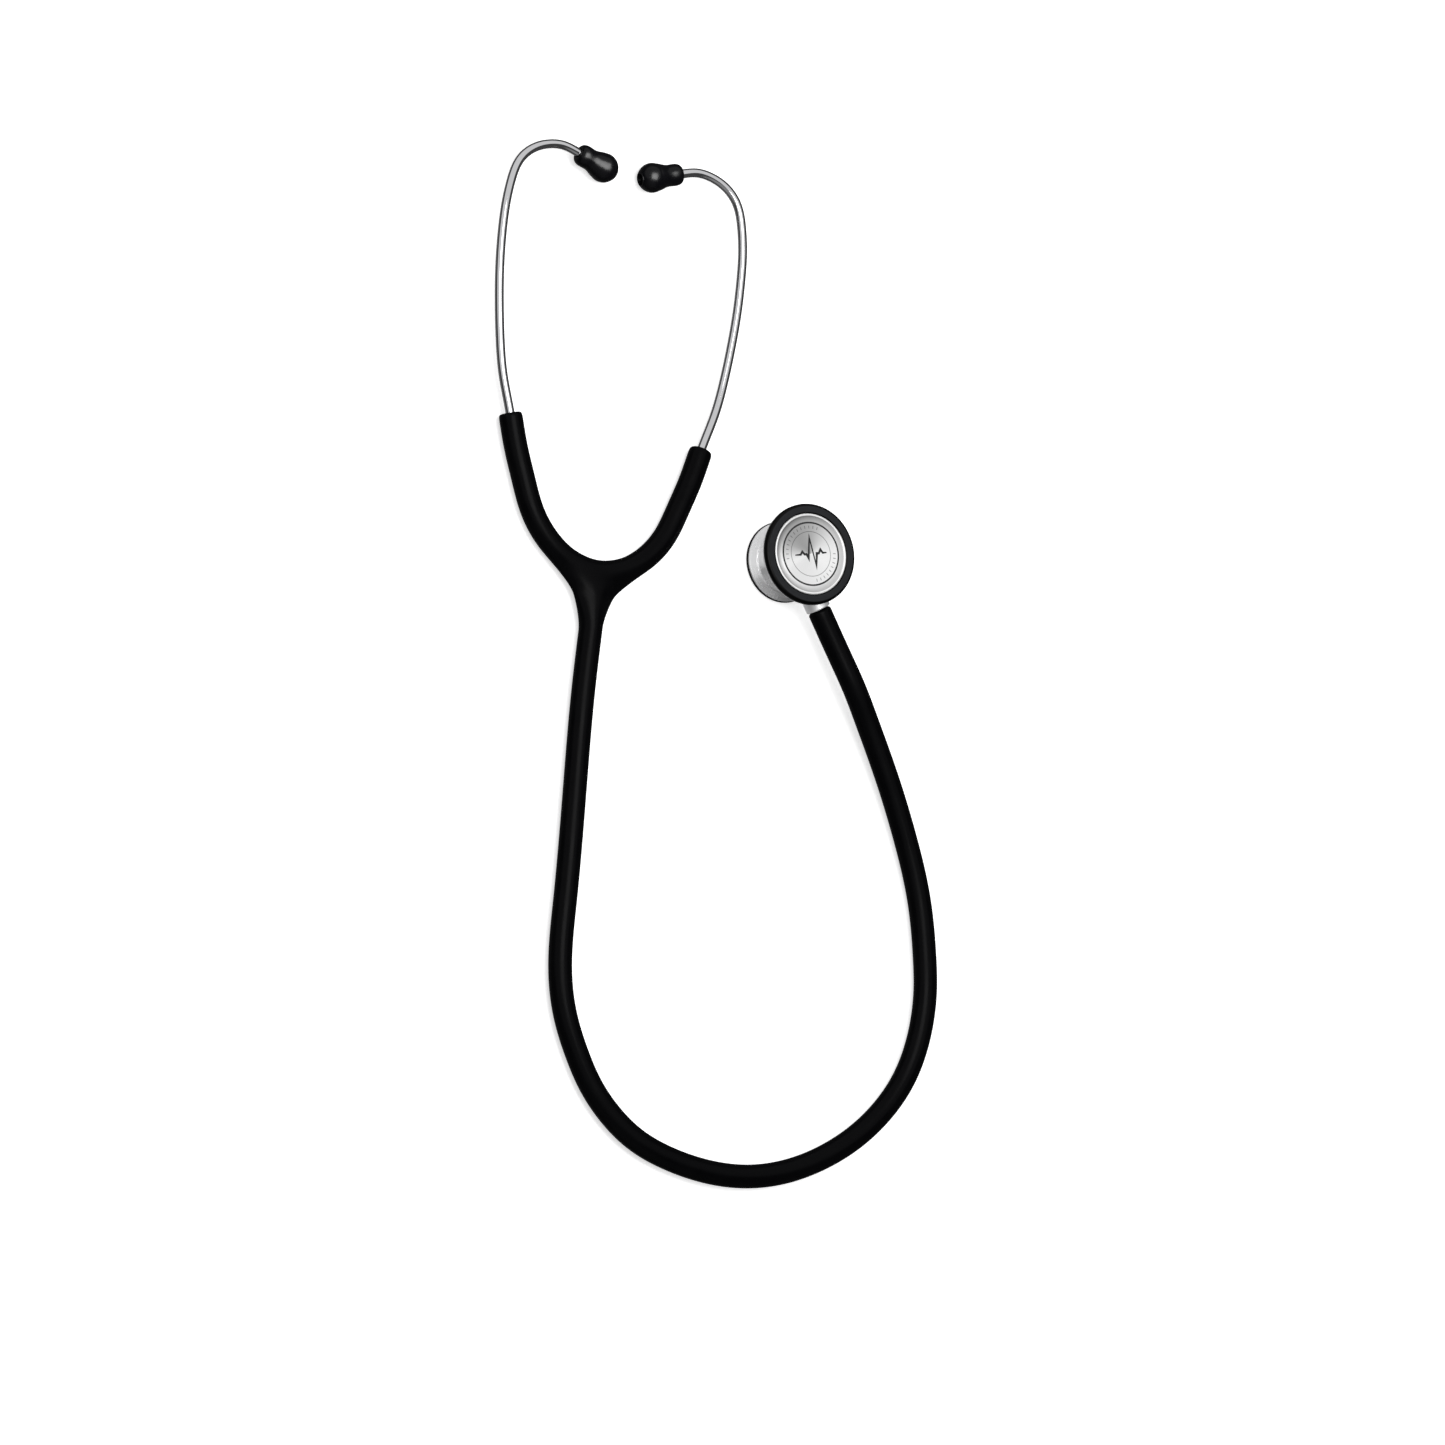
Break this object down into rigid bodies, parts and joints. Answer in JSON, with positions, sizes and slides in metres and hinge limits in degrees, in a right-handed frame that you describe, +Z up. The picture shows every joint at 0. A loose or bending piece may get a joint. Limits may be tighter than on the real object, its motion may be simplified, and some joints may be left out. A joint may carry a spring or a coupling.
{
  "type": "stethoscope",
  "caption": "Double-headed acoustic stethoscope with sprung ear tubes, soft Y tubing and a chestpiece that turns on its stem, laid out flat.",
  "frame": {"origin": "on the table, under the centre of the footprint of the headset and chestpiece, the free tube left out", "axes": "+Z up from the table, through the diaphragm side; +Y along the headset from the yoke to the ear tips; +X towards the chestpiece's side"},
  "size_m": [0.2477, 0.4482, 0.0264],
  "materials": {
    "black_tubing": "moulded black vinyl tubing, satin",
    "soft_black": "soft black silicone, smooth",
    "polished_steel": "polished stainless steel",
    "spring_steel": "bare spring steel",
    "ferrule_resin": "pale moulded resin",
    "diaphragm_resin": "glass-fibre resin disc, silvered behind"
  },
  "bodies": {
    "tubing": {"yoke": "black_tubing", "leaf_spring": "spring_steel", "main_tube": "black_tubing", "tube_stem_cuff": "black_tubing", "stem": "polished_steel", "stem_o_ring": "soft_black"},
    "left_headset": {"left_yoke_arm": "black_tubing", "left_tube_ferrule": "ferrule_resin", "left_ear_tube": "polished_steel", "left_tip_insert": "polished_steel"},
    "right_headset": {"right_yoke_arm": "black_tubing", "right_tube_ferrule": "ferrule_resin", "right_ear_tube": "polished_steel", "right_tip_insert": "polished_steel"},
    "left_tip": {"left_eartip": "soft_black"},
    "right_tip": {"right_eartip": "soft_black"},
    "chestpiece": {"chestpiece_body": "polished_steel", "bell_rim": "soft_black", "diaphragm_rim": "soft_black", "detent_ball": "spring_steel", "detent_spring": "spring_steel", "detent_screw": "spring_steel"},
    "diaphragm_disc": {"diaphragm": "diaphragm_resin"}
  },
  "joints": [
    {"name": "left_ear_tube_spread", "type": "hinge", "parent": "tubing", "child": "left_headset", "pos_m": [-0.05904, -0.06447, 0.00525], "axis": [0, 0, 1], "range_deg": [0, 25], "stiffness_Nm_per_rad": 1.2, "deforming": ["leaf_spring"]},
    {"name": "right_ear_tube_spread", "type": "hinge", "parent": "tubing", "child": "right_headset", "pos_m": [0.0012, -0.06447, 0.00525], "axis": [0, 0, -1], "range_deg": [0, 25], "stiffness_Nm_per_rad": 1.2, "deforming": ["leaf_spring"]},
    {"name": "left_eartip_turn", "type": "hinge", "parent": "left_headset", "child": "left_tip", "pos_m": [-0.05472, 0.1025, 0.008], "axis": [0.955, -0.2809, -0.0948], "continuous": true},
    {"name": "right_eartip_turn", "type": "hinge", "parent": "right_headset", "child": "right_tip", "pos_m": [-0.00312, 0.1025, 0.008], "axis": [-0.955, -0.2809, -0.0948], "continuous": true},
    {"name": "chestpiece_turn", "type": "hinge", "parent": "tubing", "child": "chestpiece", "pos_m": [0.06628, -0.06, 0.0125], "axis": [0.5446, -0.8387, 0], "continuous": true},
    {"name": "diaphragm_press", "type": "slide", "parent": "chestpiece", "child": "diaphragm_disc", "axis": [0, 0, -1], "range_m": [0, 0.0004], "stiffness_N_per_m": 3000}
  ]
}
